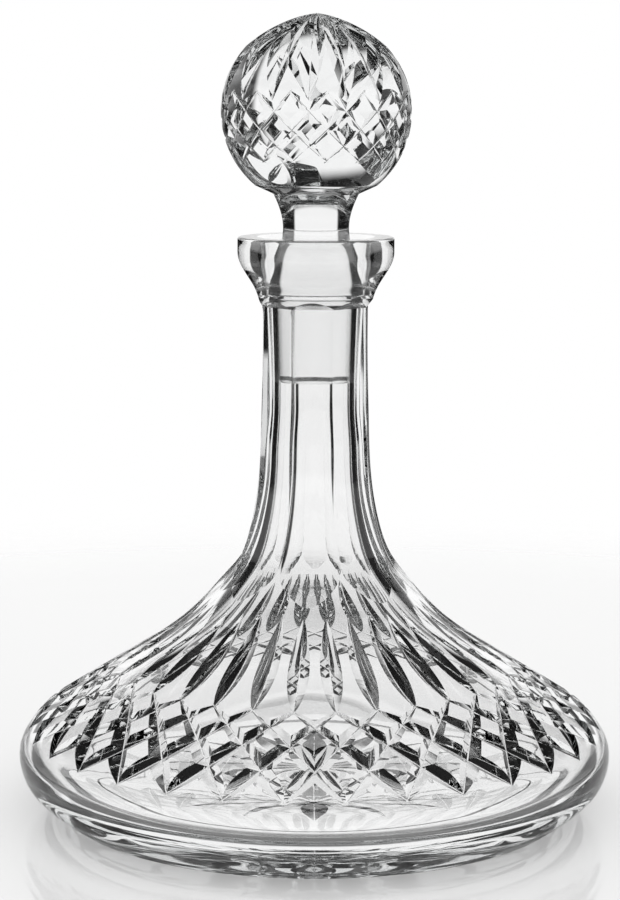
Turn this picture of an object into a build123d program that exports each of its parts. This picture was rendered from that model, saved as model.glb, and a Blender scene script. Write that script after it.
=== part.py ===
from build123d import *
import os
from math import asin, cos, degrees, hypot, pi, radians, sin, sqrt, tan

# A ship's decanter in clear cut crystal: a wide, low body that doesn't tip over, and a ball stopper.
# Millimetres. The object stands on Z = 0, its axis is Z, and its front faces -Y.

# Body, outside: foot and belly. Radii follow the belly's.
belly_height = 18.2
belly_radius = 96.2
foot_inset = 13.6
foot_radius = belly_radius - foot_inset
foot_recess = 0.8
foot_ring_width = 12.0
foot_edge_height = 1.4
foot_edge_width = 2.0
foot_edge_radius = foot_radius + foot_edge_width
heel_inset = 2.8
heel_radius = belly_radius - heel_inset
heel_height = belly_height / 2
cone_foot_inset = 9.6
cone_foot_radius = belly_radius - cone_foot_inset
cone_foot_height = 32.1
cone_head_radius = 64.5
cone_head_height = 46.0

# Body, outside: neck and mouth. Heights follow the rim's.
rim_height = 184.8
rim_radius = 25.0
rim_round = 0.9
cup_wall_depth = 4.8
cup_wall_height = rim_height - cup_wall_depth
cup_foot_depth = 16.2
cup_foot_height = rim_height - cup_foot_depth
cup_foot_radius = 19.6
cup_neck_depth = 25.3
cup_neck_height = rim_height - cup_neck_depth
neck_depth = 32.8
neck_height = rim_height - neck_depth
neck_radius = 17.6

# The sweep from the neck down to the cone, as (radius share, height share) of their differences
sweep_shares = ((0.017, 0.698), (0.045, 0.528), (0.089, 0.434), (0.190, 0.321), (0.345, 0.226), (0.559, 0.132))

# Body, inside
wall = 6.5
floor_thickness = 10.0
floor_inset = 20.2
floor_radius = belly_radius - floor_inset
bore_radius = 11.0
bore_foot_depth = 54.8
bore_foot_height = rim_height - bore_foot_depth
cup_mouth_radius = 18.7
cup_inner_depth = 8.8
cup_inner_height = rim_height - cup_inner_depth
cup_inner_radius = 17.2
cavity_shares = (0.25, 0.45, 0.6, 0.75, 0.88)

# Ground seat and stopper plug, which hang from the stopper's collar
collar_depth = 17.0
collar_height = rim_height - collar_depth
collar_radius = 15.1
collar_rise = 0.6
plug_length = 28.5
plug_top_height = collar_height - collar_rise
plug_foot_height = plug_top_height - plug_length
plug_taper = 1 / 20
plug_edge = 0.7
seat_clearance = 0.08
collar_clearance = 0.5
seat_top_height = plug_top_height - collar_clearance

# Stopper above its collar
throat_rise = 21.0
throat_height = collar_height + throat_rise
throat_radius = 10.55
shoulder_rise = 9.6
shoulder_height = throat_height + shoulder_rise
shoulder_radius = 13.6
shoulder_slope = (-1, -2)
ball_rise = 25.8
ball_height = shoulder_height + ball_rise
ball_radius = 30.2
ball_foot_drop = 23.2
ball_foot_height = ball_height - ball_foot_drop
tip_rise = 30.8
tip_height = ball_height + tip_rise

# The bell from the throat down to the collar, as (radius share, height share) of their differences
bell_shares = ((0.05, 0.82), (0.22, 0.68), (0.50, 0.53), (0.85, 0.37), (0.985, 0.22))

# Mitre cuts: one V-shaped wheel for the band, one for the upright cuts, one for the ball
overrun = 5.0
proud = 0.6
end_depth = 0.3
band_columns = 32
band_span_columns = 2
band_top_drop = 0.1
band_top_height = cone_head_height - band_top_drop
band_foot_drop = 6.2
band_foot_height = cone_foot_height - band_foot_drop
band_foot_inset = 3.2
band_foot_radius = belly_radius - band_foot_inset
band_turn = 5.625
band_depth = 2.4
band_half_angle = 55.0
wedge_drop = 0.6
wedge_foot_height = cone_head_height - wedge_drop
wedge_length = 23.1
wedge_head_height = wedge_foot_height + wedge_length
wedge_depth = 2.3
wedge_half_angle = 55.0
ball_columns = 16
ball_band_top_rise = 6.2
ball_band_top_height = ball_height + ball_band_top_rise
ball_band_foot_drop = 14.9
ball_band_foot_height = ball_height - ball_band_foot_drop
ball_band_depth = 1.6
ball_band_half_angle = 55.0
ball_turn = 6.75
leaf_foot_rise = 3.4
leaf_foot_height = ball_height + leaf_foot_rise
leaf_bow = 4.8
leaf_depth = 3.6
leaf_rise = 0.06
leaf_half_angle = 62.0

# Flat panels of the neck
flute_count = 8
flute_turn = -4.0
flute_land_share = 0.04
flute_foot_rise = 25.0
flute_foot_height = cone_head_height + flute_foot_rise
flute_top_depth = 22.0
flute_top_height = rim_height - flute_top_depth
flute_head_depth = 18.2
flute_head_height = rim_height - flute_head_depth
flute_shares = (0.10, 0.22, 0.40, 0.62, 0.84, 1.0)

# Star under the base
star_points = 16
star_inner_radius = 3.0
star_margin = 13.6
star_outer_radius = foot_radius - foot_ring_width - star_margin
star_depth = 2.3
star_half_angle = 62.0

FRONT = -90.0
share_tolerance = 1e-7


def vector_at(radius, height, turn=0.0):
    """A place in the row's frame from its radius, height and angle to the right of the front."""
    angle = radians(FRONT + turn)
    return Vector(radius * cos(angle), radius * sin(angle), height)


def cone_line():
    """The straight slope that carries the diamonds, from the belly up."""
    return Line((cone_foot_radius, cone_foot_height), (cone_head_radius, cone_head_height))


def belly_curve():
    cone = cone_line()
    foot_row = (band_foot_radius, band_foot_height)
    return Spline((belly_radius, belly_height), foot_row, cone @ 0, tangents=[(0, 1), cone % 0])


def sweep_curve():
    """The outer outline from the top of the cone up to the neck."""
    width = cone_head_radius - neck_radius
    rise = neck_height - cone_head_height
    stations = [(neck_radius + r * width, cone_head_height + h * rise) for r, h in reversed(sweep_shares)]
    return Spline((cone_head_radius, cone_head_height), *stations, (neck_radius, neck_height),
                  tangents=[cone_line() % 0, (0, 1)])


def share_at(curve, height):
    """How far along a rising curve, from 0 to 1, it reaches a height."""
    low, high = 0.0, 1.0
    while high - low > share_tolerance:
        middle = (low + high) / 2
        if (curve @ middle).Y < height:
            low = middle
        else:
            high = middle
    return low


def outer_radius(height):
    """The body's radius at a height, before any cut."""
    for curve in (BELLY, CONE, SWEEP):
        if height <= (curve @ 1).Y:
            return (curve @ share_at(curve, height)).X
    return neck_radius


def ball_radius_at(height):
    """The stopper ball's own radius at a height on its round part."""
    return sqrt(ball_radius**2 - (height - ball_height) ** 2)


def seat_radius_at(height):
    """The plug's radius at a height, which the ground seat follows."""
    return bore_radius + (height - plug_foot_height) * plug_taper


def turned(lines):
    """The solid that a closed outline in the plane of radius and height sweeps round the axis."""
    return revolve(Plane.XZ * make_face(lines), Axis.Z)


def mitre_cut(start, end, outward, bow, half_angle, reach, run_out=0):
    """A V-shaped groove whose bottom runs from start to end, bowed outward (+) or inward (-)."""
    along = end - start
    half = along.length / 2
    plane = Plane(origin=(start + end) / 2, x_dir=along, z_dir=outward)
    side = reach * tan(radians(half_angle))
    section = Plane.YZ * make_face(Polyline((0, bow), (side, bow + reach), (-side, bow + reach), close=True))
    if bow == 0:
        tool = extrude(Pos(-half - run_out, 0, 0) * section, amount=2 * (half + run_out))
    else:
        radius = (half**2 + bow**2) / (2 * bow)
        axis = Axis((0, 0, bow - radius), (0, 1, 0))
        arc = 2 * degrees(asin((half + run_out) / hypot(half + run_out, radius - bow)))
        tool = revolve(section, axis, arc).rotate(axis, -arc / 2)
    return plane * tool


def around(tool, count):
    """The tool and its copies, evenly spaced round the axis."""
    return [Rot(0, 0, number * 360 / count) * tool for number in range(count)]


def lattice_tools(columns, turn, top, foot, bow, half_angle, reach):
    """Both families of slanting grooves of a band of diamonds, between two rings (radius, height)."""
    span = band_span_columns * 360 / columns
    families = []
    for direction in (-1, 1):
        start = vector_at(*top, turn)
        end = vector_at(*foot, turn + direction * span)
        middle = vector_at(top[1] - foot[1], 0, turn + direction * span / 2)
        outward = middle + Vector(0, 0, foot[0] - top[0])
        along = (end - start).normalized()
        outward = (outward - along * outward.dot(along)).normalized()
        deeper = outward * -end_depth
        tool = mitre_cut(start + deeper, end + deeper, outward, bow, half_angle, reach, overrun)
        families.append(around(tool, columns))
    return families


def band_tools():
    top = (outer_radius(band_top_height), band_top_height)
    foot = (outer_radius(band_foot_height), band_foot_height)
    band_reach = band_depth + end_depth + proud
    return lattice_tools(band_columns, band_turn, top, foot, 0, band_half_angle, band_reach)


def wedge_tools():
    """Upright V cuts that fan up the shoulder from the tops of the diamonds."""
    foot = vector_at(outer_radius(wedge_foot_height), wedge_foot_height, band_turn)
    head = vector_at(outer_radius(wedge_head_height), wedge_head_height, band_turn)
    middle_height = (wedge_foot_height + wedge_head_height) / 2
    middle = vector_at(outer_radius(middle_height), middle_height, band_turn)
    radial = vector_at(1, 0, band_turn)
    along = (head - foot).normalized()
    outward = (radial - along * radial.dot(along)).normalized()
    hollow = ((head + foot) / 2 - middle).dot(outward)
    tool = mitre_cut(foot, head, outward, -hollow - wedge_depth, wedge_half_angle, wedge_depth + proud)
    return around(tool, band_columns)


def flute_tools():
    """Cutters for the flat panels of the neck, which run out into the shoulder and under the cup.

    They leave a narrow round land between two panels."""
    flat_share = cos(pi / flute_count * (1 - flute_land_share))
    foot = SWEEP @ share_at(SWEEP, flute_foot_height)
    rise = flute_top_height - flute_foot_height
    stations = []
    for share in flute_shares:
        height = flute_foot_height + share * rise
        stations.append(Vector(outer_radius(height) * flat_share, height))
    run_in = foot + (foot - stations[0]).normalized() * overrun
    face_line = Spline(run_in, foot, *stations)
    head_line = Line(stations[-1], Vector(cup_foot_radius, flute_head_height))
    outside = foot.X + overrun * 2
    close_lines = Polyline(head_line @ 1, (outside, flute_head_height), (outside, run_in.Y), run_in)
    profile = Plane.XZ * make_face([face_line, head_line, close_lines])
    half_width = outside * sin(pi / flute_count)
    tool = extrude(Pos(0, half_width, 0) * profile, amount=2 * half_width)
    return around(Rot(0, 0, FRONT + flute_turn) * tool, flute_count)


def star_tools():
    """Radial cuts of the star under the base."""
    start = vector_at(star_inner_radius, foot_recess)
    end = vector_at(star_outer_radius, foot_recess)
    tool = mitre_cut(start, end, Vector(0, 0, -1), -star_depth, star_half_angle, star_depth + proud)
    return around(tool, star_points)


def body_outside():
    foot_ring = foot_radius - foot_ring_width
    base = Polyline(
        (0, foot_recess),
        (foot_ring - foot_recess, foot_recess),
        (foot_ring, 0),
        (foot_radius, 0),
        (foot_edge_radius, foot_edge_height),
    )
    rise = Vector(heel_radius - foot_edge_radius, heel_height - foot_edge_height)
    heel = Spline(base @ 1, (heel_radius, heel_height), (belly_radius, belly_height), tangents=[rise, (0, 1)])
    neck_top = Vector(neck_radius, cup_neck_height)
    neck = Line(SWEEP @ 1, neck_top)
    cup = Spline(
        neck_top,
        (cup_foot_radius, cup_foot_height),
        (rim_radius, cup_wall_height),
        tangents=[(0, 1), (0, 1)],
    )
    rim = Polyline(cup @ 1, (rim_radius, rim_height), (0, rim_height), (0, foot_recess))
    solid = turned([base, heel, BELLY, CONE, SWEEP, neck, cup, rim])
    return fillet(solid.edges().filter_by(GeomType.CIRCLE).group_by(Axis.Z)[-1], rim_round)


def wall_inward(curve, share):
    """The step from a place on the outline straight in through the wall."""
    tangent = curve % share
    return Vector(-tangent.Y, tangent.X) * wall


def cavity():
    """The space inside: belly, neck bore, ground seat and the drip cup of the mouth."""
    inner = [CONE @ 0 + wall_inward(CONE, 0), CONE @ 1 + wall_inward(CONE, 1)]
    for share in cavity_shares:
        place = share_at(SWEEP, cone_head_height + share * (bore_foot_height - cone_head_height))
        inner.append(SWEEP @ place + wall_inward(SWEEP, place))
    belly_inner = Vector(belly_radius - wall, belly_height)
    floor_line = Line((0, floor_thickness), (floor_radius, floor_thickness))
    heel = Spline(floor_line @ 1, belly_inner, tangents=[(1, 0), (0, 1)])
    shoulder = Spline(belly_inner, *inner, (bore_radius, bore_foot_height), tangents=[(0, 1), (0, 1)])
    seat_top = Vector(seat_radius_at(seat_top_height) + seat_clearance, seat_top_height)
    ledge = Vector(collar_radius + collar_clearance, collar_height - collar_clearance)
    neck_bore = Polyline(shoulder @ 1, (bore_radius + seat_clearance, plug_foot_height), seat_top, ledge)
    cup = Spline(ledge, (cup_inner_radius, cup_inner_height), (cup_mouth_radius, rim_height))
    lid = Polyline(cup @ 1, (cup_mouth_radius, rim_height + overrun), (0, rim_height + overrun), (0, floor_thickness))
    return turned([floor_line, heel, shoulder, neck_bore, cup, lid])


def make_body():
    solid = body_outside()
    solid -= flute_tools()
    solid -= cavity()
    for family in band_tools():
        solid -= family
    solid -= wedge_tools()
    solid -= star_tools()
    return solid


def stopper_outside():
    tip_share = ball_radius / (tip_height - ball_height)
    cap_end = Vector(ball_radius * sqrt(1 - tip_share**2), ball_height + ball_radius * tip_share)
    cap = Line((0, tip_height), cap_end)
    ball_foot = Vector(ball_radius_at(ball_foot_height), ball_foot_height)
    ball = ThreePointArc(cap @ 1, (ball_radius, ball_height), ball_foot)
    under = Line(ball_foot, (shoulder_radius, shoulder_height))
    width = collar_radius - throat_radius
    bell = [(throat_radius + r * width, collar_height + h * throat_rise) for r, h in bell_shares]
    throat = (throat_radius, throat_height)
    neck = Spline(under @ 1, throat, *bell, (collar_radius, collar_height), tangents=[shoulder_slope, (0, -1)])
    plug_foot = seat_radius_at(plug_foot_height)
    plug = Polyline(
        neck @ 1,
        (seat_radius_at(plug_top_height), plug_top_height),
        (plug_foot, plug_foot_height + plug_edge),
        (plug_foot - plug_edge, plug_foot_height),
        (0, plug_foot_height),
        (0, tip_height),
    )
    return turned([cap, ball, under, neck, plug])


def ball_band_tools():
    top = (ball_radius_at(ball_band_top_height), ball_band_top_height)
    foot = (ball_radius_at(ball_band_foot_height), ball_band_foot_height)
    span = radians(band_span_columns * 360 / ball_columns)
    chord = (vector_at(*top) - vector_at(*foot, degrees(span))).length
    bulge = ball_radius - sqrt(ball_radius**2 - chord**2 / 4)
    bow = bulge - ball_band_depth
    return lattice_tools(ball_columns, ball_turn, top, foot, bow, ball_band_half_angle, ball_band_depth + end_depth + proud)


def leaf_tools():
    """V cuts that rise from the ball's diamonds and meet in its point."""
    turn = ball_turn + 180 / ball_columns
    foot = vector_at(ball_radius_at(leaf_foot_height), leaf_foot_height, turn)
    head = Vector(0, 0, tip_height + leaf_rise)
    along = (head - foot).normalized()
    radial = vector_at(1, 0, turn)
    outward = (radial - along * radial.dot(along)).normalized()
    tool = mitre_cut(foot, head, outward, leaf_bow, leaf_half_angle, leaf_depth + proud)
    return around(tool, ball_columns)


def make_stopper():
    solid = stopper_outside()
    for tool in leaf_tools():
        solid -= tool
    for family in ball_band_tools():
        solid -= family
    return solid


BELLY = belly_curve()
CONE = cone_line()
SWEEP = sweep_curve()

os.makedirs("parts", exist_ok=True)
for node, make in (("decanter_body", make_body), ("stopper", make_stopper)):
    export_step(make(), f"parts/{node}.step")
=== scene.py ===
from math import asin, atan2, ceil, cos, degrees, hypot, pi, radians, sin, sqrt, tan

import bmesh
import bpy
import numpy as np
from mathutils import Matrix, Vector


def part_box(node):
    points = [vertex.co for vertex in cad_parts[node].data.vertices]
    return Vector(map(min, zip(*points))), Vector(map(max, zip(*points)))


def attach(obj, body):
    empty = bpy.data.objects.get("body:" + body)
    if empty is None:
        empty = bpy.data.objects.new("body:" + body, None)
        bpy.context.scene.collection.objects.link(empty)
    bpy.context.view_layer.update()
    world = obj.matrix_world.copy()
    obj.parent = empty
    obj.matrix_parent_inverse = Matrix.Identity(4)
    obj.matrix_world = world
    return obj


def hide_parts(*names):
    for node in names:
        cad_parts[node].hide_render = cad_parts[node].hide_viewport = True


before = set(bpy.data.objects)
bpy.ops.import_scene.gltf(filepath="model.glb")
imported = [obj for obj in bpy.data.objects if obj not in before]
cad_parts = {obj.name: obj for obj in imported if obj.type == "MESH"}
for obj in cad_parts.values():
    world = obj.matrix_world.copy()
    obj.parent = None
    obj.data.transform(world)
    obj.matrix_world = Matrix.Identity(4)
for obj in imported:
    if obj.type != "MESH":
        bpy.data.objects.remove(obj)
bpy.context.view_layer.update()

# The ship's decanter as it looks: clear lead crystal, mitre cut and polished, on a pale glossy table.
# The glass is modelled in millimetres and scaled to metres at the end; the stage is in metres.
# Angles are in degrees, and turns round the axis count from the front.

MM = 0.001
FRONT = -90.0

# Sizes that come from the frame
_, body_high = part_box("decanter_body")
stopper_low, stopper_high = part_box("stopper")
rim_height = body_high.z / MM
belly_radius = body_high.x / MM
tip_height = stopper_high.z / MM
plug_foot_height = stopper_low.z / MM

# Body, outside
rim_radius = 25.0
rim_round = 0.9
cup_wall_height = 180.0
cup_neck_height = 159.5
cup_foot_height = 168.6
cup_foot_radius = 19.6
neck_height = 152.0
neck_radius = 17.6
belly_height = 18.2
foot_radius = 82.6
foot_edge_height = 1.4
foot_edge_radius = 84.6
foot_recess = 0.8
foot_ring_width = 12.0
heel_height = 9.1
heel_radius = 93.4
cone_foot_height = 32.1
cone_foot_radius = 86.6
cone_head_height = 46.0
cone_head_radius = 64.5
# The sweep from the cone up to the neck, in shares of its width past the neck and of its height
sweep_shares = ((0.017, 0.698), (0.045, 0.528), (0.089, 0.434), (0.190, 0.321), (0.345, 0.226),
                (0.559, 0.132))

# Body, inside
wall = 6.5
floor_thickness = 10.0
floor_radius = 76.0
bore_radius = 11.0
bore_foot_height = 130.0
cup_mouth_radius = 18.7
cup_inner_height = 176.0
cup_inner_radius = 17.2
cavity_shares = (0.25, 0.45, 0.6, 0.75, 0.88)

# Ground seat and stopper
plug_length = 28.5
plug_taper = 1 / 20
plug_edge = 0.7
seat_clearance = 0.08
collar_clearance = 0.5
collar_height = 167.8
collar_radius = 15.1
throat_height = 188.8
throat_radius = 10.55
shoulder_height = 198.4
shoulder_radius = 13.6
shoulder_slope = (1, 2)
ball_height = 224.2
ball_radius = 30.2
ball_foot_height = 201.0
bell_shares = ((0.985, 0.22), (0.85, 0.37), (0.50, 0.53), (0.20, 0.68), (0.02, 0.84))

# Mitre cuts: V cutters with a narrow round tip, which stand proud of the glass and overrun it
overrun = 5.0
proud = 0.6
end_depth = 0.3
mitre_tip = 0.4
tip_shares = (-1, -0.5, 0, 0.5, 1)
band_columns = 32
band_span_columns = 2
band_top_height = 45.9
band_foot_height = 25.9
band_foot_radius = 93.0
band_turn = 5.625
band_depth = 2.4
band_half_angle = 55.0
wedge_foot_height = 45.4
wedge_head_height = 68.5
wedge_depth = 2.3
wedge_half_angle = 55.0
ball_columns = 16
ball_band_top_height = 230.4
ball_band_foot_height = 209.3
ball_band_depth = 1.6
ball_band_half_angle = 55.0
ball_turn = 6.75
leaf_foot_height = 227.6
leaf_bow = 4.8
leaf_depth = 3.6
leaf_rise = 0.06
leaf_half_angle = 62.0
star_points = 16
star_inner_radius = 3.0
star_outer_radius = 57.0
star_depth = 2.3
star_half_angle = 62.0

# Flat panels of the neck
flute_count = 8
flute_turn = -4.0
flute_land_share = 0.04
flute_foot_height = 71.0
flute_top_height = 162.8
flute_head_height = 166.6
flute_shares = (0.10, 0.22, 0.40, 0.62, 0.84, 1.0)

# How finely the glass is modelled
ROUND_STEPS = 256
STEP = 2.0
FINE_STEP = 0.8
BOW_MIN_STEPS = 4
RIM_STEPS = 8
SAME_PLACE = 1e-6

# Finishes, how sharp an edge each one still rounds off, and how level a ground face may lie
BLOWN, CUT, GROUND = 0, 1, 2
BLOWN_SOFT_ANGLE = radians(25)
CUT_SOFT_ANGLE = radians(5)
GROUND_MAX_LEVEL = 0.5


def polar(radius, height, turn=0.0):
    """A place from its radius, height and angle to the right of the front."""
    angle = radians(FRONT + turn)
    return Vector((radius * cos(angle), radius * sin(angle), height))


def knot_slopes(knots, gaps, start, end):
    """The direction of the smooth curve at each knot; an end without a given direction is free."""
    count = len(knots)
    rows = np.zeros((count, count))
    right = np.zeros((count, 2))
    for i in range(1, count - 1):
        before, after = gaps[i - 1], gaps[i]
        rows[i, i - 1 : i + 2] = (1 / before, 2 / before + 2 / after, 1 / after)
        rise = (knots[i] - knots[i - 1]) / before**2 + (knots[i + 1] - knots[i]) / after**2
        right[i] = 3 * rise
    for i, near, direction, run, gap in (
        (0, 1, start, knots[1] - knots[0], gaps[0]),
        (-1, -2, end, knots[-1] - knots[-2], gaps[-1]),
    ):
        rows[i, i] = 1
        if direction is None:
            rows[i, near] = 0.5
            right[i] = 1.5 * run / gap
        else:
            right[i] = np.array(direction, float) / np.linalg.norm(direction)
    return np.linalg.solve(rows, right)


def smooth_line(points, start=None, end=None, step=STEP):
    """Points along the smooth curve through the given ones; start and end are its end directions."""
    knots = np.array(points, float)
    gaps = np.linalg.norm(np.diff(knots, axis=0), axis=1)
    slopes = knot_slopes(knots, gaps, start, end)
    line = [tuple(knots[0])]
    for i, gap in enumerate(gaps):
        pieces = max(2, ceil(gap / step))
        for part in range(1, pieces + 1):
            t = part / pieces
            place = (2 * t**3 - 3 * t**2 + 1) * knots[i] + (t**3 - 2 * t**2 + t) * gap * slopes[i]
            place += (3 * t**2 - 2 * t**3) * knots[i + 1] + (t**3 - t**2) * gap * slopes[i + 1]
            line.append(tuple(place))
    return line


def straight(*points, step=STEP):
    """Points along straight runs."""
    line = [points[0]]
    for (x0, y0), (x1, y1) in zip(points, points[1:]):
        pieces = max(1, ceil(hypot(x1 - x0, y1 - y0) / step))
        line += [(x0 + (x1 - x0) * i / pieces, y0 + (y1 - y0) * i / pieces) for i in range(1, pieces + 1)]
    return line


def arc(centre, radius, start, end, steps):
    """Points along a round stretch, from and to angles in degrees above level."""
    angles = [radians(start + (end - start) * i / steps) for i in range(steps + 1)]
    return [(centre[0] + radius * cos(a), centre[1] + radius * sin(a)) for a in angles]


def joined(*lines):
    """One outline from lines that meet end to end."""
    outline = [lines[0][0]]
    for line in lines:
        x, y = outline[-1]
        outline += [point for point in line if hypot(point[0] - x, point[1] - y) > SAME_PLACE]
    return outline


def cone_slope():
    return (cone_head_radius - cone_foot_radius, cone_head_height - cone_foot_height)


def belly_line():
    widest = (belly_radius, belly_height)
    band_foot = (band_foot_radius, band_foot_height)
    cone_foot = (cone_foot_radius, cone_foot_height)
    return smooth_line([widest, band_foot, cone_foot], start=(0, 1), end=cone_slope())


def sweep_line():
    """The outer outline from the top of the cone up to the neck."""
    width = cone_head_radius - neck_radius
    rise = neck_height - cone_head_height
    stations = [(neck_radius + r * width, cone_head_height + h * rise) for r, h in reversed(sweep_shares)]
    knots = [(cone_head_radius, cone_head_height), *stations, (neck_radius, neck_height)]
    return smooth_line(knots, start=cone_slope(), end=(0, 1))


BELLY = belly_line()
CONE = straight((cone_foot_radius, cone_foot_height), (cone_head_radius, cone_head_height))
SWEEP = sweep_line()
WALL_LINE = joined(BELLY, CONE, SWEEP)


def outer_radius(height):
    """The body's radius at a height, before any cut."""
    radii, heights = zip(*WALL_LINE)
    return float(np.interp(height, heights, radii))


def ball_radius_at(height):
    return sqrt(ball_radius**2 - (height - ball_height) ** 2)


def seat_radius_at(height):
    """The plug's radius at a height, which the ground seat follows."""
    return bore_radius + (height - plug_foot_height) * plug_taper


def new_piece(name, points, faces, finish):
    """A solid piece with one finish, its faces turned outward."""
    mesh = bpy.data.meshes.new(name)
    mesh.from_pydata(points, [], faces)
    piece = bpy.data.objects.new(name, mesh)
    bpy.context.scene.collection.objects.link(piece)
    for material in FINISHES:
        mesh.materials.append(material)
    work = bmesh.new()
    work.from_mesh(mesh)
    bmesh.ops.recalc_face_normals(work, faces=work.faces)
    for face in work.faces:
        face.material_index = finish
    work.to_mesh(mesh)
    work.free()
    return piece


def turned(name, outline, finish=BLOWN):
    """The solid that an outline from axis to axis sweeps round the axis."""
    points = [(0, 0, outline[0][1]), (0, 0, outline[-1][1])]
    rings = []
    for radius, height in outline[1:-1]:
        rings.append(len(points))
        points += [polar(radius, height, 360 * step / ROUND_STEPS) for step in range(ROUND_STEPS)]
    faces = []
    for step in range(ROUND_STEPS):
        after = (step + 1) % ROUND_STEPS
        faces.append((0, rings[0] + after, rings[0] + step))
        for low, high in zip(rings, rings[1:]):
            faces.append((low + step, low + after, high + after, high + step))
        faces.append((1, rings[-1] + step, rings[-1] + after))
    return new_piece(name, points, faces, finish)


def v_section(half_angle, reach):
    """The wheel's edge as (side, height): a V with a narrow round tip."""
    lift = mitre_tip / sin(half_angle) - mitre_tip
    tip = []
    for share in tip_shares:
        angle = share * (pi / 2 - half_angle)
        tip.append((mitre_tip * sin(angle), lift + mitre_tip - mitre_tip * cos(angle)))
    side = reach * tan(half_angle)
    return [(-side, reach), *tip, (side, reach)]


def cut_stations(half, bow, run_out):
    """Places along a cut, as its run, its level and the direction (lean, lift) square to it there."""
    if bow == 0:
        return [(end * (half + run_out), 0, 0, 1) for end in (-1, 1)]
    radius = (half**2 + bow**2) / (2 * bow)
    widest = atan2(half + run_out, abs(radius - bow))
    count = max(BOW_MIN_STEPS, 2 * ceil(widest * abs(radius) / FINE_STEP))
    angles = [widest * (2 * i / count - 1) for i in range(count + 1)]
    return [(radius * sin(a), bow - radius + radius * cos(a), sin(a), cos(a)) for a in angles]


def mitre_cutter(start, end, outward, bow, half_angle, reach, run_out=0.0):
    """Points and faces of a V cutter whose tip runs from start to end, bowed outward (+) or inward (-)."""
    along = (end - start).normalized()
    across = outward.cross(along)
    middle = (start + end) / 2
    section = v_section(radians(half_angle), reach)
    stations = cut_stations((end - start).length / 2, bow, run_out)
    points = []
    for run, level, lean, lift in stations:
        for side, height in section:
            offset = along * (run + height * lean) + outward * (level + height * lift)
            points.append(middle + offset + across * side)
    width = len(section)
    faces = [tuple(range(width)), tuple(range(len(points) - width, len(points)))]
    for station in range(len(stations) - 1):
        for i in range(width):
            after = (i + 1) % width
            low, high = station * width, (station + 1) * width
            faces.append((low + i, low + after, high + after, high + i))
    return points, faces


def repeated(name, cutter, count, finish=CUT):
    """One piece that holds a cutter and its copies, evenly spaced round the axis."""
    points, faces = cutter
    all_points, all_faces = [], []
    for number in range(count):
        turn = Matrix.Rotation(2 * pi * number / count, 3, "Z")
        first = len(all_points)
        all_points += [turn @ point for point in points]
        all_faces += [tuple(first + i for i in face) for face in faces]
    return new_piece(name, all_points, all_faces, finish)


def cut(piece, tool):
    """Takes the tool's solid out of the piece, and the tool away."""
    modifier = piece.modifiers.new("cut", "BOOLEAN")
    modifier.operation = "DIFFERENCE"
    modifier.solver = "MANIFOLD"
    modifier.material_mode = "INDEX"
    modifier.object = tool
    bpy.context.view_layer.update()
    solid = piece.evaluated_get(bpy.context.evaluated_depsgraph_get())
    mesh = bpy.data.meshes.new_from_object(solid)
    old = piece.data
    piece.modifiers.clear()
    piece.data = mesh
    bpy.data.meshes.remove(old)
    old_tool = tool.data
    bpy.data.objects.remove(tool)
    bpy.data.meshes.remove(old_tool)


def square_to(along, direction):
    """The direction turned square to along, in their common plane."""
    return (direction - along * direction.dot(along)).normalized()


def slanted_cutters(columns, turn, top, foot, bow, half_angle, reach):
    """Both cutters of a band of diamonds, between two rings (radius, height)."""
    span = band_span_columns * 360 / columns
    cutters = []
    for direction in (-1, 1):
        start = polar(*top, turn)
        end = polar(*foot, turn + direction * span)
        level_part = polar(top[1] - foot[1], 0, turn + direction * span / 2)
        outward = level_part + Vector((0, 0, foot[0] - top[0]))
        outward = square_to((end - start).normalized(), outward)
        deeper = outward * -end_depth
        cutters.append(mitre_cutter(start + deeper, end + deeper, outward, bow, half_angle, reach, overrun))
    return cutters


def band_cutters():
    top = (outer_radius(band_top_height), band_top_height)
    foot = (outer_radius(band_foot_height), band_foot_height)
    reach = band_depth + end_depth + proud
    return slanted_cutters(band_columns, band_turn, top, foot, 0, band_half_angle, reach)


def wedge_cutter():
    """An upright V cut that runs up the shoulder from the top of a diamond."""
    foot = polar(outer_radius(wedge_foot_height), wedge_foot_height, band_turn)
    head = polar(outer_radius(wedge_head_height), wedge_head_height, band_turn)
    middle_height = (wedge_foot_height + wedge_head_height) / 2
    middle = polar(outer_radius(middle_height), middle_height, band_turn)
    outward = square_to((head - foot).normalized(), polar(1, 0, band_turn))
    hollow = ((head + foot) / 2 - middle).dot(outward)
    return mitre_cutter(foot, head, outward, -hollow - wedge_depth, wedge_half_angle, wedge_depth + proud)


def star_cutter():
    """A radial cut of the star under the base."""
    start = polar(star_inner_radius, foot_recess)
    end = polar(star_outer_radius, foot_recess)
    return mitre_cutter(start, end, Vector((0, 0, -1)), -star_depth, star_half_angle, star_depth + proud)


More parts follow.
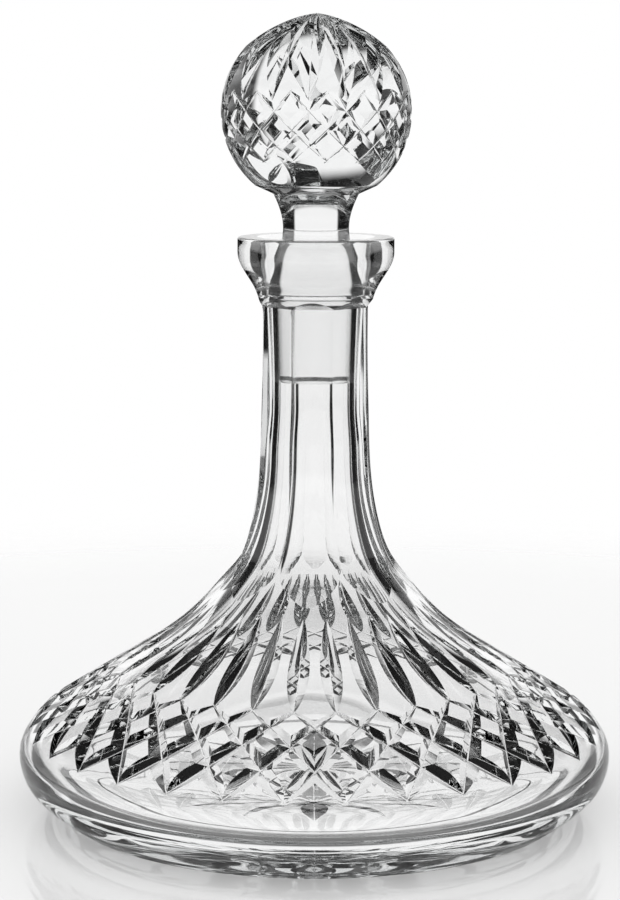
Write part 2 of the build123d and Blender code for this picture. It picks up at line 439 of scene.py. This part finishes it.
def flute_cutter():
    """The cutter of one flat panel of the neck, which runs out into the shoulder and under the cup."""
    flat_share = cos(pi / flute_count * (1 - flute_land_share))
    foot = (outer_radius(flute_foot_height), flute_foot_height)
    rise = flute_top_height - flute_foot_height
    stations = []
    for share in flute_shares:
        height = flute_foot_height + share * rise
        stations.append((outer_radius(height) * flat_share, height))
    fall = np.subtract(foot, stations[0])
    run_in = tuple(foot + fall / np.linalg.norm(fall) * overrun)
    outside = foot[0] + overrun * 2
    line = smooth_line([run_in, foot, *stations])
    head = [(cup_foot_radius, flute_head_height), (outside, flute_head_height), (outside, run_in[1])]
    outline = line + head
    half_width = outside * sin(pi / flute_count)
    turn = Matrix.Rotation(radians(FRONT + flute_turn), 3, "Z")
    points = [turn @ Vector((r, side * half_width, z)) for side in (-1, 1) for r, z in outline]
    count = len(outline)
    faces = [tuple(range(count)), tuple(range(count, 2 * count))]
    for i in range(count):
        after = (i + 1) % count
        faces.append((i, after, count + after, count + i))
    return points, faces


def grind(piece, low, high, radius):
    """Gives the ground finish to the faces within a radius between two heights."""
    for face in piece.data.polygons:
        centre = face.center
        if low < centre.z < high and hypot(centre.x, centre.y) < radius:
            if abs(face.normal.z) < GROUND_MAX_LEVEL:
                face.material_index = GROUND


def finish_attributes(mesh):
    """Keeps each face's finish as an attribute, so that one material can serve the whole piece."""
    for name, finish in (("blown", BLOWN), ("ground", GROUND)):
        layer = mesh.attributes.new(name, "FLOAT", "FACE")
        for face in mesh.polygons:
            layer.data[face.index].value = face.material_index == finish
    for face in mesh.polygons:
        face.material_index = 0
    mesh.materials.clear()


def drop_doubled(work):
    """Takes out faces that lie on each other with the same corners, as a cut can leave a loose pair."""
    by_corners = {}
    for face in work.faces:
        by_corners.setdefault(frozenset(face.verts), []).append(face)
    doubled = [face for faces in by_corners.values() if len(faces) > 1 for face in faces]
    bmesh.ops.delete(work, geom=doubled, context="FACES")


def soften(piece):
    """Smooth shading, with the edges of every cut kept crisp."""
    work = bmesh.new()
    work.from_mesh(piece.data)
    drop_doubled(work)
    for edge in work.edges:
        sides = [face.material_index for face in edge.link_faces]
        limit = BLOWN_SOFT_ANGLE if set(sides) == {BLOWN} else CUT_SOFT_ANGLE
        edge.smooth = len(set(sides)) == 1 and edge.calc_face_angle(pi) < limit
    for face in work.faces:
        face.smooth = True
    work.to_mesh(piece.data)
    work.free()


def body_outline():
    ring = foot_radius - foot_ring_width
    base = straight((0, foot_recess), (ring - foot_recess, foot_recess), (ring, 0), (foot_radius, 0),
                    (foot_edge_radius, foot_edge_height))
    heel_start = (heel_radius - foot_edge_radius, heel_height - foot_edge_height)
    heel = smooth_line([base[-1], (heel_radius, heel_height), (belly_radius, belly_height)],
                       start=heel_start, end=(0, 1), step=FINE_STEP)
    cup = smooth_line([(neck_radius, cup_neck_height), (cup_foot_radius, cup_foot_height),
                       (rim_radius, cup_wall_height)], start=(0, 1), end=(0, 1), step=FINE_STEP)
    rim_edge = arc((rim_radius - rim_round, rim_height - rim_round), rim_round, 0, 90, RIM_STEPS)
    top = straight(rim_edge[-1], (0, rim_height), step=FINE_STEP)
    return joined(base, heel, BELLY, CONE, SWEEP, cup, rim_edge, top)


def inward(line, height):
    """The place one wall inside a line of the outline, at a height on it."""
    points = np.array(line)
    slopes = np.gradient(points, axis=0)
    place = np.array([np.interp(height, points[:, 1], points[:, k]) for k in (0, 1)])
    slope = np.array([np.interp(height, points[:, 1], slopes[:, k]) for k in (0, 1)])
    slope /= np.linalg.norm(slope)
    return (place[0] - slope[1] * wall, place[1] + slope[0] * wall)


def cavity_outline():
    """The space inside: belly, neck bore, ground seat and the drip cup of the mouth."""
    inner = [inward(CONE, cone_foot_height), inward(CONE, cone_head_height)]
    for share in cavity_shares:
        inner.append(inward(SWEEP, cone_head_height + share * (bore_foot_height - cone_head_height)))
    floor = straight((0, floor_thickness), (floor_radius, floor_thickness))
    belly_inner = (belly_radius - wall, belly_height)
    heel = smooth_line([floor[-1], belly_inner], start=(1, 0), end=(0, 1), step=FINE_STEP)
    shoulder = smooth_line([belly_inner, *inner, (bore_radius, bore_foot_height)], start=(0, 1), end=(0, 1))
    seat_top_height = plug_foot_height + plug_length - collar_clearance
    seat_top = (seat_radius_at(seat_top_height) + seat_clearance, seat_top_height)
    ledge = (collar_radius + collar_clearance, collar_height - collar_clearance)
    seat = straight(shoulder[-1], (bore_radius + seat_clearance, plug_foot_height), seat_top, ledge)
    mouth = (cup_mouth_radius, rim_height)
    cup = smooth_line([ledge, (cup_inner_radius, cup_inner_height), mouth], step=FINE_STEP)
    lid_height = rim_height + overrun
    lid = straight(mouth, (cup_mouth_radius, lid_height), (0, lid_height), step=2 * overrun)
    return joined(floor, heel, shoulder, seat, cup, lid)


def make_body():
    body = turned("decanter_crystal", body_outline())
    cut(body, repeated("flutes", flute_cutter(), flute_count))
    cut(body, turned("cavity", cavity_outline()))
    for cutter in band_cutters():
        cut(body, repeated("band", cutter, band_columns))
    cut(body, repeated("wedges", wedge_cutter(), band_columns))
    cut(body, repeated("star", star_cutter(), star_points, GROUND))
    grind(body, plug_foot_height, plug_foot_height + plug_length, collar_radius)
    return body


def stopper_outline():
    plug_top = plug_foot_height + plug_length
    plug_foot = seat_radius_at(plug_foot_height)
    plug = straight((0, plug_foot_height), (plug_foot - plug_edge, plug_foot_height),
                    (plug_foot, plug_foot_height + plug_edge), (seat_radius_at(plug_top), plug_top),
                    (collar_radius, collar_height))
    width = collar_radius - throat_radius
    throat_rise = throat_height - collar_height
    bell = [(throat_radius + r * width, collar_height + h * throat_rise) for r, h in bell_shares]
    neck = smooth_line([plug[-1], *bell, (throat_radius, throat_height), (shoulder_radius, shoulder_height)],
                       start=(0, 1), end=shoulder_slope, step=FINE_STEP)
    ball_foot_angle = degrees(asin((ball_foot_height - ball_height) / ball_radius))
    cap_angle = degrees(asin(ball_radius / (tip_height - ball_height)))
    steps = ceil(radians(cap_angle - ball_foot_angle) * ball_radius / FINE_STEP)
    ball = arc((0, ball_height), ball_radius, ball_foot_angle, cap_angle, steps)
    under = straight(neck[-1], ball[0])
    cap = straight(ball[-1], (0, tip_height))
    return joined(plug, neck, under, ball, cap)


def ball_band_cutters():
    top = (ball_radius_at(ball_band_top_height), ball_band_top_height)
    foot = (ball_radius_at(ball_band_foot_height), ball_band_foot_height)
    chord = (polar(*top) - polar(*foot, band_span_columns * 360 / ball_columns)).length
    bow = ball_radius - sqrt(ball_radius**2 - chord**2 / 4) - ball_band_depth
    reach = ball_band_depth + end_depth + proud
    return slanted_cutters(ball_columns, ball_turn, top, foot, bow, ball_band_half_angle, reach)


def leaf_cutter():
    """A V cut that rises from the ball's diamonds to its point."""
    turn = ball_turn + 180 / ball_columns
    foot = polar(ball_radius_at(leaf_foot_height), leaf_foot_height, turn)
    head = Vector((0, 0, tip_height + leaf_rise))
    outward = square_to((head - foot).normalized(), polar(1, 0, turn))
    return mitre_cutter(foot, head, outward, leaf_bow, leaf_half_angle, leaf_depth + proud)


def make_stopper():
    stopper = turned("stopper_crystal", stopper_outline())
    points, faces = leaf_cutter()
    for number in range(ball_columns):
        turn = Matrix.Rotation(2 * pi * number / ball_columns, 3, "Z")
        cut(stopper, new_piece("leaf", [turn @ point for point in points], faces, CUT))
    for cutter in ball_band_cutters():
        cut(stopper, repeated("ball_band", cutter, ball_columns))
    grind(stopper, plug_foot_height + plug_edge, plug_foot_height + plug_length, collar_radius)
    return stopper


# Glass
crystal_ior = 1.545
absorption_color = (0.80, 0.82, 0.82, 1)
absorption_density = 5.0
ground_roughness = 0.08
wave_depth = 0.00006
wave_scale = 55.0
wave_detail = 1.0
white = (1, 1, 1, 1)


def node(tree, kind, **values):
    """A new shader node with some of its inputs set."""
    made = tree.nodes.new(kind)
    for name, value in values.items():
        made.inputs[name.replace("_", " ")].default_value = value
    return made


def new_material(name):
    material = bpy.data.materials.new(name)
    material.use_nodes = True
    material.node_tree.nodes.clear()
    return material, material.node_tree


def feed(tree, socket, value):
    """Sets a socket to a number, or links it to another node's output."""
    if isinstance(value, (int, float)):
        socket.default_value = value
    else:
        tree.links.new(value, socket)


def math_node(tree, operation, *values):
    made = tree.nodes.new("ShaderNodeMath")
    made.operation = operation
    for socket, value in zip(made.inputs, values):
        feed(tree, socket, value)
    return made.outputs[0]


def smooth_step(tree, value, none, full):
    """From 0 at none to 1 at full, in a smooth step."""
    made = tree.nodes.new("ShaderNodeMapRange")
    made.interpolation_type = "SMOOTHSTEP"
    tree.links.new(value, made.inputs["Value"])
    made.inputs["From Min"].default_value = none
    made.inputs["From Max"].default_value = full
    return made.outputs["Result"]


def mixed(tree, share, first, second):
    """The first value, or the second one as the share nears 1."""
    made = tree.nodes.new("ShaderNodeMix")
    made.data_type = "FLOAT"
    factor, _, socket_a, socket_b = made.inputs[:4]
    feed(tree, factor, share)
    feed(tree, socket_a, first)
    feed(tree, socket_b, second)
    return made.outputs["Result"]


def crystal(name):
    """Clear lead crystal: faint waves where it was blown, a fine matt where it is ground, else polished."""
    material, tree = new_material(name)
    shader = node(tree, "ShaderNodeBsdfPrincipled", IOR=crystal_ior, Transmission_Weight=1, Base_Color=white)
    ground = tree.nodes.new("ShaderNodeAttribute")
    ground.attribute_name = "ground"
    roughness = math_node(tree, "MULTIPLY", ground.outputs["Fac"], ground_roughness)
    tree.links.new(roughness, shader.inputs["Roughness"])
    blown = tree.nodes.new("ShaderNodeAttribute")
    blown.attribute_name = "blown"
    place = tree.nodes.new("ShaderNodeTexCoord")
    waves = node(tree, "ShaderNodeTexNoise", Scale=wave_scale, Detail=wave_detail)
    tree.links.new(place.outputs["Object"], waves.inputs["Vector"])
    bump = node(tree, "ShaderNodeBump", Strength=1.0, Distance=wave_depth)
    height = math_node(tree, "MULTIPLY", waves.outputs["Fac"], blown.outputs["Fac"])
    tree.links.new(height, bump.inputs["Height"])
    tree.links.new(bump.outputs["Normal"], shader.inputs["Normal"])
    volume = node(tree, "ShaderNodeVolumeAbsorption", Color=absorption_color, Density=absorption_density)
    output = node(tree, "ShaderNodeOutputMaterial")
    tree.links.new(shader.outputs["BSDF"], output.inputs["Surface"])
    tree.links.new(volume.outputs["Volume"], output.inputs["Volume"])
    return material


# Stand-ins for the finishes, which the faces carry while the piece is cut
FINISHES = [bpy.data.materials.new(name) for name in ("blown", "cut", "ground")]

body = make_body()
stopper = make_stopper()
for piece, cad_node, cad_body, slot in (
    (body, "decanter_body", "decanter", "crystal_body"),
    (stopper, "stopper", "stopper", "crystal_stopper"),
):
    soften(piece)
    finish_attributes(piece.data)
    piece.data.materials.append(crystal(slot))
    piece.data.transform(Matrix.Scale(MM, 4))
    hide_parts(cad_node)
    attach(piece, cad_body)
for finish in FINISHES:
    bpy.data.materials.remove(finish)


# Table. Its two shares say how much of it shows, and how much to rays that come through the glass.
table_radius = 0.55
table_fade = (0.55, 0.35)
table_gap = 0.0001
table_steps = 96
table_color = (0.93, 0.93, 0.93, 1)
table_roughness = 0.35
table_gloss = 1.0
table_gloss_roughness = 0.03
table_share = 0.75
# To rays through the glass the table doesn't show; the studio's grey floor, painted shade, stands in for it
table_share_through = 0.0


def table_material():
    """Glossy white, which fades into the white behind it toward the table's edge."""
    material, tree = new_material("white_table")
    shader = node(tree, "ShaderNodeBsdfPrincipled", Base_Color=table_color, Roughness=table_roughness,
                  Coat_Weight=table_gloss, Coat_Roughness=table_gloss_roughness)
    place = tree.nodes.new("ShaderNodeTexCoord")
    length = tree.nodes.new("ShaderNodeVectorMath")
    length.operation = "LENGTH"
    tree.links.new(place.outputs["Object"], length.inputs[0])
    shown = smooth_step(tree, length.outputs["Value"], *table_fade)
    path = tree.nodes.new("ShaderNodeLightPath")
    share = mixed(tree, path.outputs["Is Transmission Ray"], table_share, table_share_through)
    solid = math_node(tree, "MULTIPLY", shown, share)
    clear = tree.nodes.new("ShaderNodeBsdfTransparent")
    mix = tree.nodes.new("ShaderNodeMixShader")
    tree.links.new(solid, mix.inputs[0])
    tree.links.new(clear.outputs[0], mix.inputs[1])
    tree.links.new(shader.outputs["BSDF"], mix.inputs[2])
    output = node(tree, "ShaderNodeOutputMaterial")
    tree.links.new(mix.outputs[0], output.inputs["Surface"])
    return material


def make_table():
    """A round table just under the glass."""
    mesh = bpy.data.meshes.new("table")
    turns = [2 * pi * step / table_steps for step in range(table_steps)]
    rim = [(table_radius * cos(turn), table_radius * sin(turn), -table_gap) for turn in turns]
    mesh.from_pydata(rim, [], [tuple(range(table_steps))])
    table = bpy.data.objects.new("table", mesh)
    bpy.context.scene.collection.objects.link(table)
    mesh.materials.append(table_material())


# Studio, by the angle from straight behind and by the height of the direction: a white wall behind
# the glass, dark ones at its sides and in front, a white band low down in front, which lights the
# glass for views from the sides and back, a dark ceiling and a grey floor, which is painted shade
# that stands in for the shaded table under the glass
back_edges = (33.0, 28.0)
back_foot = (-0.85, -0.65)
ceiling_edges = (0.58, 0.42)
low_edges = (78.0, 86.0)
low_head = (-0.17, -0.22)
low_foot = (-0.75, -0.60)
low_level = 0.8
floor_edges = (-0.22, -0.34)
# How bright the grey floor is: painted shade for the table under the glass
painted_floor_shade_level = 0.18
dark_level = 0.01

# What mirrors show: a white band above the horizon, so that the table stays white
band_foot = (-0.03, 0.02)
band_head = (0.45, 0.34)


def faded(tree, level, *limits):
    """The level, faded to nothing past each limit: a value and where it starts and ends its fade."""
    for value, (none, full) in limits:
        level = math_node(tree, "MULTIPLY", level, smooth_step(tree, value, none, full))
    return level


def room_seen(tree, x, y, z):
    """How bright the room is in the direction x, y, z, as the glass shows it."""
    turn = math_node(tree, "ABSOLUTE", math_node(tree, "ARCTAN2", x, y))
    turn = math_node(tree, "MULTIPLY", turn, 180 / pi)
    back = faded(tree, 1, (turn, back_edges), (z, ceiling_edges), (z, back_foot))
    low = faded(tree, low_level, (turn, low_edges), (z, low_head), (z, low_foot))
    # The grey floor is painted shade, in place of the table's own shade under the glass
    floor = faded(tree, painted_floor_shade_level, (z, floor_edges))
    return math_node(tree, "MAXIMUM", math_node(tree, "MAXIMUM", back, low), floor)


def make_studio():
    world = bpy.data.worlds.new("studio")
    bpy.context.scene.world = world
    world.use_nodes = True
    tree = world.node_tree
    tree.nodes.clear()
    place = tree.nodes.new("ShaderNodeTexCoord")
    split = tree.nodes.new("ShaderNodeSeparateXYZ")
    tree.links.new(place.outputs["Generated"], split.inputs[0])
    x, y, z = split.outputs
    through = room_seen(tree, x, y, z)
    mirrored = faded(tree, 1, (z, band_foot), (z, band_head))
    path = tree.nodes.new("ShaderNodeLightPath")
    seen = mixed(tree, path.outputs["Is Glossy Ray"], 1, mirrored)
    seen = mixed(tree, path.outputs["Is Transmission Ray"], seen, through)
    strength = math_node(tree, "MAXIMUM", seen, dark_level)
    background = node(tree, "ShaderNodeBackground", Color=white)
    tree.links.new(strength, background.inputs["Strength"])
    output = tree.nodes.new("ShaderNodeOutputWorld")
    tree.links.new(background.outputs[0], output.inputs["Surface"])


# Camera
camera_distance = 0.777
camera_height = 0.2321
camera_side = -0.0017
camera_pitch = 0.14825
camera_lens = 97.4
camera_roll = 0.003
camera_near = 0.01


def make_camera():
    data = bpy.data.cameras.new("camera")
    data.lens = camera_lens
    data.clip_start = camera_near
    camera = bpy.data.objects.new("camera", data)
    camera.location = (camera_side, -camera_distance, camera_height)
    tilt = Matrix.Rotation(pi / 2 - camera_pitch, 3, "X") @ Matrix.Rotation(camera_roll, 3, "Z")
    camera.rotation_euler = tilt.to_euler()
    bpy.context.scene.collection.objects.link(camera)
    bpy.context.scene.camera = camera


# How often light may bounce in the glass and between mirrors
glass_bounces = 24
mirror_bounces = 12

make_table()
make_studio()
make_camera()

scene = bpy.context.scene
scene.view_settings.view_transform = "Standard"
scene.cycles.max_bounces = glass_bounces
scene.cycles.transmission_bounces = glass_bounces
scene.cycles.glossy_bounces = mirror_bounces
